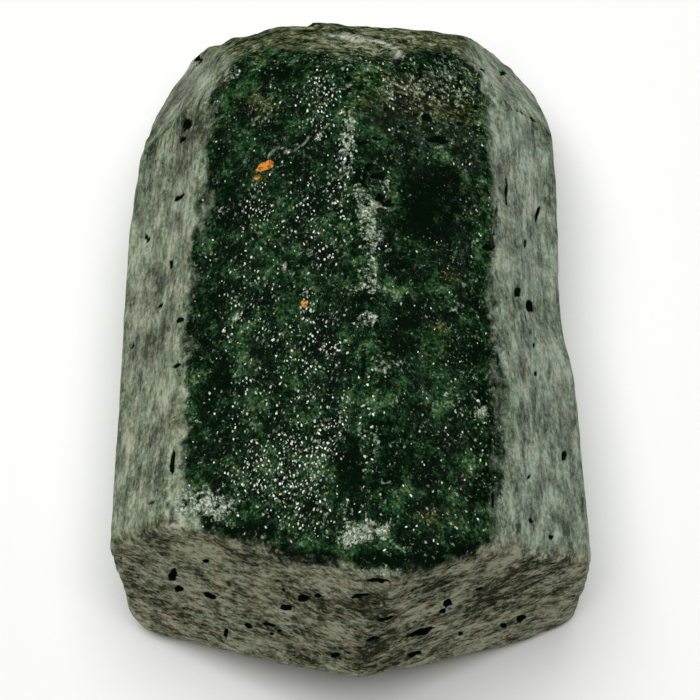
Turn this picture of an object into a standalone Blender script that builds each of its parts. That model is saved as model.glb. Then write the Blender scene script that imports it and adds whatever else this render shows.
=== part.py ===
"""A stubby crystal of black tourmaline that lies on its back, in metres.

The long axis runs along Y, with the pointed end towards -Y and the broken end
towards +Y. The two widest prism faces look up and meet in a ridge, and the
flat back rests on Z = 0. A block is cut to the crystal's natural faces one
plane at a time. Its edges are then worn round, and the flutes, ledges, pits
and broken steps are pressed into its surface.
"""

import math

import bmesh
import bpy
import numpy as np
from mathutils import Vector, noise

COLLECTION_NAME = "Black tourmaline crystal"
CRYSTAL_NAME = "crystal"

# The middle of the long axis, which runs along Y at this height over the back.
AXIS_MIDDLE = (0.0, 0.0001, 0.0120)

# Natural faces. Each has its azimuth round the long axis (0 looks up and +90
# looks along +X), its tilt towards the pointed end, both in degrees, and its
# distance from the middle of the axis.
PRISM_FACES = {
    "upper left": (-28, -2.5, 0.0148),
    "upper right": (30, -7.5, 0.0157),
    "left shoulder": (-60, -4.5, 0.0157),
    "right shoulder": (60, -4.5, 0.0152),
    "left side": (-94, -2, 0.0175),
    "right side": (92, -4, 0.0170),
    "left under": (-140, -5.5, 0.0168),
    "right under": (144, -9.5, 0.0199),
    "back": (180, 0, 0.0120),
}
POINT_FACES = {
    "left point": (-58, 61, 0.0223),
    "right point": (69, 63.5, 0.0234),
    "lower point": (184, 68, 0.0243),
}
BROKEN_FACES = {
    "broken end": (0, -87, 0.0249),
    "left bevel": (-67, -32, 0.0211),
    "left taper": (-90, -8.5, 0.0185),
    "right bevel": (62, -36, 0.0216),
    "right taper": (83, -39.5, 0.02455),
    "top bevel": (4, -59, 0.0233),
    "top left bevel": (-41, -56.5, 0.0243),
    "top right bevel": (17, -62, 0.0234),
}
FACES = {**PRISM_FACES, **POINT_FACES, **BROKEN_FACES}

# Wear: how far the sharp edges are rounded back.
BLOCK_SIDE = 0.080
PRISM_WEAR = 0.00012
END_WEAR = 0.00022
END_WEAR_START = 0.012
END_WEAR_FULL = 0.021
LOW_WEAR = 0.00045
LOW_WEAR_FULL = 0.0045
LOW_WEAR_TOP = 0.009
WEAR_PASSES = 5
RIDGE_WEAR_DEPTH = 0.00022
RIDGE_WEAR_WIDTH = 0.0009
RIDGE_PATCH_MEAN = 0.7
RIDGE_PATCH_SWING = 0.6
RIDGE_PATCH_SIZE = 0.003
EDGE_SPREAD = 2.2
CHIP_DEPTH = 0.0005
CHIP_SIZE = 0.0018
CHIP_THRESHOLD = 0.08

# Growth marks on the prism faces.
MEAN_RADIUS = 0.016
WAVE_HEIGHT = 0.00014
WAVE_SIZE = 0.008
FLUTE_HEIGHT = 0.00012
FLUTE_WIDTH = 0.0016
FLUTE_LENGTH = 0.022
UPPER_FLUTE_SHARE = 0.3

# A broken shelf on the right side, whose inner end starts as a crack.
SHELF_DEPTH = 0.0006
SHELF_START = (0.0165, 0.0030)
SHELF_DROP = 0.0065
SHELF_CURVE = 0.0028
SHELF_LENGTH = 0.0120
SHELF_RISE = 0.0006
SHELF_RISE_GROWTH = 0.55
SHELF_FADE_IN = 0.004
SHELF_UNDER_START = 0.012
SHELF_UNDER_END = 0.020

# The rough shoulder where the upper right face meets the broken end.
SHOULDER_START = 0.0115
SHOULDER_END = 0.0190
SHOULDER_DROP = 0.0004
SHOULDER_SLANT = 0.12
SHOULDER_LUMPS = 0.8
SHOULDER_LUMP_SIZES = (0.002, 0.0012, 0.002)

# Steps of the broken end, and the raised sliver at its top.
STEP_DEPTH = 0.0007
STEP_SIZE = 0.0060
STEP_COUNT = 4
STEP_FLATNESS = 0.6
STEP_SQUEEZE = 0.6
STEP_MIDDLE = 0.45
SLIVER_LEFT = (-0.0028, 0.0243)
SLIVER_RIGHT = (0.0042, 0.0193)
SLIVER_HEIGHT = 0.00035
SLIVER_STEP = 0.0003
SLIVER_LOW = 0.010
SLIVER_HIGH = 0.014

# Pits as seen from above: x, y, half width, half length and depth.
PITS = {
    "ridge pit, far": (0.0012, 0.0094, 0.0008, 0.0007, 0.0006),
    "ridge pit, near": (0.0030, 0.0083, 0.0010, 0.0007, 0.0007),
    "slit on the upper right face": (0.0068, 0.0131, 0.0011, 0.0004, 0.0005),
    "pit at the right shoulder edge": (0.0098, 0.0050, 0.0008, 0.0010, 0.0006),
    "slot on the right shoulder": (0.0128, 0.0026, 0.0005, 0.0008, 0.0007),
    "slot low on the right shoulder": (0.0165, -0.0088, 0.0006, 0.0009, 0.0005),
    "pit on the left shoulder": (-0.0131, 0.0102, 0.0009, 0.0006, 0.0007),
    "notch far on the left shoulder": (-0.0127, 0.0157, 0.0008, 0.0012, 0.0005),
    "groove on the left shoulder": (-0.0138, 0.0062, 0.0006, 0.0024, 0.0003),
    "left point, pit 1": (-0.0135, -0.0187, 0.0010, 0.0006, 0.0006),
    "left point, pit 2": (-0.0104, -0.0203, 0.0009, 0.0006, 0.0005),
    "left point, pit 3": (-0.0047, -0.0214, 0.0009, 0.0006, 0.0005),
    "left point, pit 4": (-0.0029, -0.0210, 0.0010, 0.0006, 0.0005),
    "right point, pit": (0.0056, -0.0228, 0.0014, 0.0008, 0.0006),
    "point ridge, pit": (0.0026, -0.0212, 0.0010, 0.0006, 0.0005),
}
PIT_RAGGEDNESS = 0.5
PIT_RIM_GRAIN = 0.0009
PIT_FLOOR = 0.35
PIT_RIM = 1.3

# Mesh fineness.
SURFACE_GRAIN = 0.0005
FINAL_TRIANGLES = 8400
REST_CUT = 0.00025
SHARP_ANGLE = 24

TOURMALINE_COLOUR = (0.018, 0.035, 0.020, 1.0)
TOURMALINE_ROUGHNESS = 0.35


def clear_scene():
    for old_object in list(bpy.data.objects):
        bpy.data.objects.remove(old_object)


def face_normal(azimuth, tilt):
    """The outward direction of a face with this azimuth and tilt, in degrees."""
    turn = math.radians(azimuth)
    lean = math.radians(tilt)
    return Vector((math.sin(turn) * math.cos(lean), -math.sin(lean), math.cos(turn) * math.cos(lean)))


NORMALS = np.array([face_normal(azimuth, tilt) for azimuth, tilt, _ in FACES.values()])
REACHES = np.array([reach for _, _, reach in FACES.values()])
FACE_NUMBER = {name: number for number, name in enumerate(FACES)}


def ramp(values, start, end):
    """0 before the start and 1 past the end, with a smooth rise between them."""
    share = np.clip((values - start) / (end - start), 0.0, 1.0)
    return share * share * (3 - 2 * share)


def smooth_noise(coordinates, sizes, seed):
    """Gentle bumps from -1 to 1, about as large as the sizes."""
    shift = Vector((7.3, 3.1, 5.7)) * seed
    return np.array([noise.noise(Vector(row) + shift) for row in coordinates / np.array(sizes)])


def share_of(weights, names):
    """How much of each point belongs to the named faces."""
    return weights[:, [FACE_NUMBER[name] for name in names]].sum(axis=1)


def cut_block():
    """A block cut by one plane for each natural face."""
    block = bmesh.new()
    bmesh.ops.create_cube(block, size=BLOCK_SIDE)
    bmesh.ops.translate(block, vec=AXIS_MIDDLE, verts=block.verts)
    for azimuth, tilt, reach in FACES.values():
        outward = face_normal(azimuth, tilt)
        cut = bmesh.ops.bisect_plane(
            block,
            geom=block.verts[:] + block.edges[:] + block.faces[:],
            dist=1e-7,
            plane_co=Vector(AXIS_MIDDLE) + outward * reach,
            plane_no=outward,
            clear_outer=True,
        )
        rim = [item for item in cut["geom_cut"] if isinstance(item, bmesh.types.BMEdge)]
        bmesh.ops.edgeloop_fill(block, edges=rim)
    bmesh.ops.recalc_face_normals(block, faces=block.faces)
    return block


def mesh_after_modifier(mesh, kind, **settings):
    """The mesh as one modifier of this kind leaves it."""
    helper = bpy.data.objects.new("helper", mesh)
    bpy.context.scene.collection.objects.link(helper)
    modifier = helper.modifiers.new(kind, kind)
    for setting, value in settings.items():
        setattr(modifier, setting, value)
    graph = bpy.context.evaluated_depsgraph_get()
    changed = bpy.data.meshes.new_from_object(helper.evaluated_get(graph))
    bpy.data.objects.remove(helper)
    return changed


def worn_points(points):
    """Moves the points onto the block with worn edges.

    Each edge is rounded by a smooth maximum over the planes of its faces. It
    also gives every point its share of each face and its outward direction.
    """
    ends = ramp(np.abs(points[:, 1]), END_WEAR_START, END_WEAR_FULL)
    low = 1 - ramp(points[:, 2], LOW_WEAR_FULL, LOW_WEAR_TOP)
    wear = PRISM_WEAR + (END_WEAR - PRISM_WEAR) * ends
    wear = np.maximum(wear, LOW_WEAR * low)[:, None]
    for _ in range(WEAR_PASSES):
        gaps = (points - np.array(AXIS_MIDDLE)) @ NORMALS.T - REACHES
        nearest = gaps.max(axis=1, keepdims=True)
        powers = np.exp((gaps - nearest) / wear)
        total = powers.sum(axis=1, keepdims=True)
        weights = powers / total
        outward = weights @ NORMALS
        outward /= np.linalg.norm(outward, axis=1, keepdims=True)
        points = points - outward * (nearest + wear * np.log(total))
    return points, weights, outward, gaps


def growth_marks(around, along, points, weights):
    """Broad waves all over, and flutes along the prism faces."""
    waves = WAVE_HEIGHT * smooth_noise(points, (WAVE_SIZE,) * 3, 1)
    across_and_along = np.column_stack([around, along, np.zeros(len(along))])
    sizes = (FLUTE_WIDTH, FLUTE_LENGTH, 1.0)
    flutes = FLUTE_HEIGHT * smooth_noise(across_and_along, sizes, 2)
    upper = share_of(weights, ["upper left", "upper right"])
    fluted = share_of(weights, PRISM_FACES) - (1 - UPPER_FLUTE_SHARE) * upper
    return waves + flutes * fluted


def worn_ridge(points, weights, gaps):
    """The ridge between the two upper faces is rubbed flat, deeper in places."""
    upper_left = gaps[:, FACE_NUMBER["upper left"]]
    upper_right = gaps[:, FACE_NUMBER["upper right"]]
    on_ridge = 1 - ramp(np.abs(upper_left - upper_right), 0.0, RIDGE_WEAR_WIDTH)
    on_ridge *= share_of(weights, ["upper left", "upper right"])
    patches = smooth_noise(points, (RIDGE_PATCH_SIZE,) * 3, 3)
    return -RIDGE_WEAR_DEPTH * on_ridge * (RIDGE_PATCH_MEAN + RIDGE_PATCH_SWING * patches)


def edge_chips(points, weights):
    """Small chips out of the edges."""
    on_edge = np.clip(EDGE_SPREAD * (1 - weights.max(axis=1)), 0, 1)
    chips = np.clip(smooth_noise(points, (CHIP_SIZE,) * 3, 4) - CHIP_THRESHOLD, 0, 1)
    return -CHIP_DEPTH * on_edge * chips


def right_shelf(around, along):
    """A curved step on the right side. The surface is lower on its far side."""
    past_start = np.clip(around - SHELF_START[0], 0, None)
    edge = SHELF_START[1] - SHELF_DROP * (1 - np.exp(-past_start / SHELF_CURVE))
    foot = edge + SHELF_RISE + SHELF_RISE_GROWTH * past_start
    lower = ramp(along, edge, foot) * (1 - ramp(along, foot, foot + SHELF_LENGTH))
    outer = ramp(past_start, 0.0, SHELF_FADE_IN)
    under = ramp(past_start, SHELF_UNDER_START, SHELF_UNDER_END)
    return -SHELF_DEPTH * lower * outer * (1 - under)


def rough_shoulder(points, weights):
    """The far part of the upper right face falls away in a rough slope."""
    fall = ramp(points[:, 1] + SHOULDER_SLANT * points[:, 0], SHOULDER_START, SHOULDER_END)
    lumps = 1 + SHOULDER_LUMPS * smooth_noise(points, SHOULDER_LUMP_SIZES, 5)
    return -SHOULDER_DROP * fall * lumps * share_of(weights, ["upper right"])


def broken_steps(points, weights):
    """Flat steps with steep edges over the broken end."""
    sizes = (STEP_SIZE, STEP_SIZE, STEP_SQUEEZE * STEP_SIZE)
    levels = (smooth_noise(points, sizes, 6) + 1) * STEP_COUNT / 2
    stepped = np.floor(levels) + ramp(levels % 1.0, STEP_FLATNESS, 1.0)
    depth = STEP_DEPTH * (stepped / STEP_COUNT - STEP_MIDDLE)
    return depth * share_of(weights, ["broken end", "right bevel", "left bevel", "right taper"])


def raised_sliver(points, weights):
    """A thin raised sliver beyond the crease at the top of the broken end."""
    start = np.array(SLIVER_LEFT)
    along_crease = np.array(SLIVER_RIGHT) - start
    from_start = points[:, :2] - start
    past = along_crease[0] * from_start[:, 1] - along_crease[1] * from_start[:, 0]
    past /= np.linalg.norm(along_crease)
    share = share_of(weights, ["top bevel", "top right bevel", "broken end"])
    high = ramp(points[:, 2], SLIVER_LOW, SLIVER_HIGH)
    return SLIVER_HEIGHT * ramp(past, 0.0, SLIVER_STEP) * share * high


def top_height(x, y):
    """Height of the sharp block over this place, seen from above."""
    facing_up = NORMALS[:, 2] > 0.01
    normals = NORMALS[facing_up]
    offset_x = x - AXIS_MIDDLE[0]
    offset_y = y - AXIS_MIDDLE[1]
    heights = (REACHES[facing_up] - normals[:, 0] * offset_x - normals[:, 1] * offset_y) / normals[:, 2]
    return heights.min() + AXIS_MIDDLE[2]


def pits(points):
    """Every named pit, as a round-bottomed hollow."""
    depth = np.zeros(len(points))
    ragged = PIT_RAGGEDNESS * smooth_noise(points, (PIT_RIM_GRAIN,) * 3, 7)
    for x, y, half_width, half_length, pit_depth in PITS.values():
        offset = points - np.array((x, y, top_height(x, y)))
        across = np.hypot(offset[:, 0], offset[:, 2]) / half_width
        along = offset[:, 1] / half_length
        from_middle = np.hypot(across, along) + ragged
        depth = np.minimum(depth, -pit_depth * (1 - ramp(from_middle, PIT_FLOOR, PIT_RIM)))
    return depth


def relief(points, weights, gaps):
    """Height of all surface marks over the worn block."""
    around = MEAN_RADIUS * np.arctan2(points[:, 0] - AXIS_MIDDLE[0], points[:, 2] - AXIS_MIDDLE[2])
    along = points[:, 1]
    height = growth_marks(around, along, points, weights)
    height += worn_ridge(points, weights, gaps)
    height += edge_chips(points, weights)
    height += right_shelf(around, along)
    height += rough_shoulder(points, weights)
    height += broken_steps(points, weights)
    height += raised_sliver(points, weights)
    height += pits(points)
    return height * (1 - share_of(weights, ["back"]))


def shaped_mesh():
    """The worn crystal with all its surface marks, in even, fine faces."""
    block = cut_block()
    sharp = bpy.data.meshes.new("sharp block")
    block.to_mesh(sharp)
    block.free()
    fine = mesh_after_modifier(sharp, "REMESH", mode="VOXEL", voxel_size=SURFACE_GRAIN)
    flat = np.empty(len(fine.vertices) * 3, np.float32)
    fine.vertices.foreach_get("co", flat)
    points, weights, outward, gaps = worn_points(flat.reshape(-1, 3).astype(float))
    points += outward * relief(points, weights, gaps)[:, None]
    fine.vertices.foreach_set("co", points.ravel())
    fine.update()
    return fine


def thinned(fine):
    """The same form with large triangles on flat ground and small ones in detail."""
    fine.calc_loop_triangles()
    share = FINAL_TRIANGLES / len(fine.loop_triangles)
    return mesh_after_modifier(fine, "DECIMATE", ratio=share, use_collapse_triangulate=True)


def flatten_back(mesh):
    """Cuts the back flat, so that the crystal rests on one plane at Z = 0."""
    body = bmesh.new()
    body.from_mesh(mesh)
    cut = bmesh.ops.bisect_plane(
        body,
        geom=body.verts[:] + body.edges[:] + body.faces[:],
        dist=1e-6,
        plane_co=(0, 0, REST_CUT),
        plane_no=(0, 0, -1),
        clear_outer=True,
    )
    rim = [item for item in cut["geom_cut"] if isinstance(item, bmesh.types.BMEdge)]
    bmesh.ops.edgeloop_fill(body, edges=rim)
    bmesh.ops.triangulate(body, faces=body.faces)
    bmesh.ops.translate(body, vec=(0, 0, -REST_CUT), verts=body.verts)
    for vertex in body.verts:
        vertex.co.z = max(vertex.co.z, 0.0)
    bmesh.ops.recalc_face_normals(body, faces=body.faces)
    body.to_mesh(mesh)
    body.free()


def tourmaline():
    material = bpy.data.materials.new("black tourmaline")
    material.use_nodes = True
    surface = material.node_tree.nodes["Principled BSDF"]
    surface.inputs["Base Color"].default_value = TOURMALINE_COLOUR
    surface.inputs["Roughness"].default_value = TOURMALINE_ROUGHNESS
    surface.inputs["Metallic"].default_value = 0.0
    material.diffuse_color = TOURMALINE_COLOUR
    return material


def main():
    clear_scene()
    mesh = thinned(shaped_mesh())
    flatten_back(mesh)
    mesh.name = CRYSTAL_NAME
    mesh.materials.append(tourmaline())
    mesh.shade_smooth()
    mesh.set_sharp_from_angle(angle=math.radians(SHARP_ANGLE))
    collection = bpy.data.collections.new(COLLECTION_NAME)
    bpy.context.scene.collection.children.link(collection)
    collection.objects.link(bpy.data.objects.new(CRYSTAL_NAME, mesh))


main()
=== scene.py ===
import math

import bmesh
import bpy
import numpy as np
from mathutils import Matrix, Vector, noise


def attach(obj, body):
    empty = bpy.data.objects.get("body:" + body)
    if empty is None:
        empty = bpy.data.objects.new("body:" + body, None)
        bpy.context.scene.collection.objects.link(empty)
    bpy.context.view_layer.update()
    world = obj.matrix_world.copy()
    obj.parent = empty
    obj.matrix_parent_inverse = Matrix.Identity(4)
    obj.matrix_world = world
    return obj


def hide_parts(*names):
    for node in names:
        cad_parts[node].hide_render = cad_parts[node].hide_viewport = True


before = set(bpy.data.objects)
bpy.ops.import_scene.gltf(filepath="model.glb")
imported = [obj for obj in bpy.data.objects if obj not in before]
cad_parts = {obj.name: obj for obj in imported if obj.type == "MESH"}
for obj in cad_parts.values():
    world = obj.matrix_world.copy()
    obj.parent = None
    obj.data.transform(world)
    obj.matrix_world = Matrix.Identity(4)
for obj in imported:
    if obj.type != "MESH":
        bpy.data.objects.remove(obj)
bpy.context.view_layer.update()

# The crystal is worked out in millimetres and made metres at the end.
mm = 0.001

cameraSetup = {
    "target": (0.0, 0.0, 10.5),  # mm, a point inside the crystal
    "elevation": 77,  # degrees over the floor
    "distance": 260.0,  # mm from the target
    "viewWidth": 54.5,  # mm that fill the picture at the target
    "pictureWidth": 700,  # pixels
    "sensorWidth": 36.0,  # mm
    "nearest": 0.005,  # m, nothing closer than this shows
}

# How it lies: the long axis along Y, the pointed end towards -Y, the flat back down.
# Each natural face has its turn round the long axis (0 looks up, +90 looks along +X),
# its tilt towards the pointed end and its distance from the middle of the axis.
crystalShape = {
    "axisMiddle": (0.0, 0.1, 12.0),
    "prismFaces": {
        "upperLeft": (-28, -2.5, 14.8),
        "upperRight": (30, -7.5, 15.7),
        "leftShoulder": (-60, -4.5, 15.7),
        "rightShoulder": (60, -4.5, 15.2),
        "leftSide": (-94, -2, 17.5),
        "rightSide": (92, -4, 17.0),
        "leftUnder": (-140, -5.5, 16.8),
        "rightUnder": (144, -9.5, 19.9),
        "back": (180, 0, 12.0),
    },
    "pointFaces": {
        "leftPoint": (-58, 61, 22.3),
        "rightPoint": (69, 63.5, 23.4),
        "lowerPoint": (184, 68, 24.3),
    },
    "brokenFaces": {
        "brokenEnd": (0, -87, 24.9),
        "leftBevel": (-67, -32, 21.1),
        "leftTaper": (-90, -8.5, 18.5),
        "rightBevel": (62, -36, 21.6),
        "rightTaper": (83, -39.5, 24.55),
        "topBevel": (4, -59, 23.3),
        "topLeftBevel": (-41, -56.5, 24.3),
        "topRightBevel": (17, -62, 23.4),
    },
    "blockSide": 80.0,
    "cutTolerance": 1e-4,
    "prismWear": 0.12,  # how far sharp edges are rounded back
    "endWear": 0.22,
    "endWearStart": 12.0,
    "endWearRise": 9.0,
    "lowWear": 0.45,
    "lowWearTop": 9.0,
    "softWear": 0.5,  # the far edge of the upper faces, and the right one, are softer
    "softHeight": (17.0, 21.0),  # heights over which that sets in
    "softFarStart": (13.0, 16.0),  # along the crystal, where the far edge grows soft and hard again
    "softFarEnd": (21.0, 23.0),
    "softRightStart": (7.0, 9.0),  # to the right
    "softRightEnd": (3.0, 7.0),  # along the crystal
    "wearPasses": 5,
    "meshGrain": 0.39,  # halved on the upper faces and the point
    "refinedShare": 0.2,  # of those faces in a point of the mesh, from where it is halved
    "restCut": 0.25,  # the underside is cut flat this far up
    "restTolerance": 1e-3,
    # along the streaks on each face of the point
    "pointGrain": {
        "leftPoint": (0.83, -0.23, 0.505),
        "rightPoint": (0.74, 0.23, -0.63),
        "lowerPoint": (1.0, 0.0, 0.0),
    },
}

# Surface forms, in millimetres.
crystalRelief = {
    "meanRadius": 16.0,
    "wave": (0.14, 8.0),  # height and size, as for all bumps below
    "flute": (0.12, 1.6, 22.0),  # height, width and length
    "fluteLoss": 0.7,  # how much of it the upper faces lack
    "ridgeWear": (0.05, 0.5),  # depth and half width
    "ridgeBorder": 3.0,  # how far the ridge is dull, in half widths
    "ridgePatches": (0.7, 0.6, 3.0),  # mean, swing and size of the changes in its wear
    "edgeSpread": 2.2,
    "chip": (0.5, 1.8, 0.08),  # depth, size and threshold
    "shelfDepth": 0.6,
    "shelfStart": (16.5, 3.0),  # round the axis from the top, and along it
    "shelfDrop": 6.5,
    "shelfCurve": 2.8,
    "shelfRise": (0.6, 0.55),  # width of the step at its inner end, and its growth outwards
    "shelfLength": 12.0,
    "shelfFadeIn": 4,
    "shelfUnder": (12, 20),  # round the axis from the shelf's start, where it fades out
    "shoulderFall": (11.5, 19.0, 0.4),  # start and end along the crystal, and drop
    "shoulderSlant": 0.12,
    "shoulderLumps": 0.8,
    "shoulderLumpSizes": (2.0, 1.2, 2.0),
    "step": (0.7, 6.0, 4),  # depth, size and count
    "stepSqueeze": 0.6,
    "stepFlatness": 0.6,
    "stepMiddle": 0.45,
    "sliverLeft": (-2.8, 24.3),
    "sliverRight": (4.2, 19.3),
    "sliverHeight": 0.35,
    "sliverStep": 0.3,
    "sliverFadeIn": (10.0, 14.0),  # heights
    "skin": (0.035, 0.55),  # etched mounds on the upper faces
    "skinCoarse": (0.07, 1.6),
    "streak": (0.06, 0.7, 5.0),  # fine grooves along the sides: height, width and length
    "bandLumps": (0.07, 1.0),  # uneven ground on the point
    "bandLumpsOnSides": 0.6,  # its share there
    "lumps": (0.12, 0.9),  # rough ground on the broken end
    "crumbs": (0.13, 0.55),  # broken ground in the abraded places
    "crumbsOnFall": 0.7,
    "crumbsOnRidge": 0.6,
    "pinPits": (0.08, 0.8),  # scattered small pits
    "pinLevels": (0.45, 0.65),
    "pinsOffPoint": 0.4,  # their share on the other faces
    "pitRim": (0.5, 0.8),  # how ragged the pits and cracks are
    "pitRimFine": (0.5, 0.38),
    "pitFade": (0.3, 1.3),  # shares of a pit's half width between which it rises
    "pitsOnSides": 0.45,  # share of their depth there
    "markRim": (0.35, 1.1),  # how ragged the coloured marks are
    "markRimFine": (0.3, 0.45),
}

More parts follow.
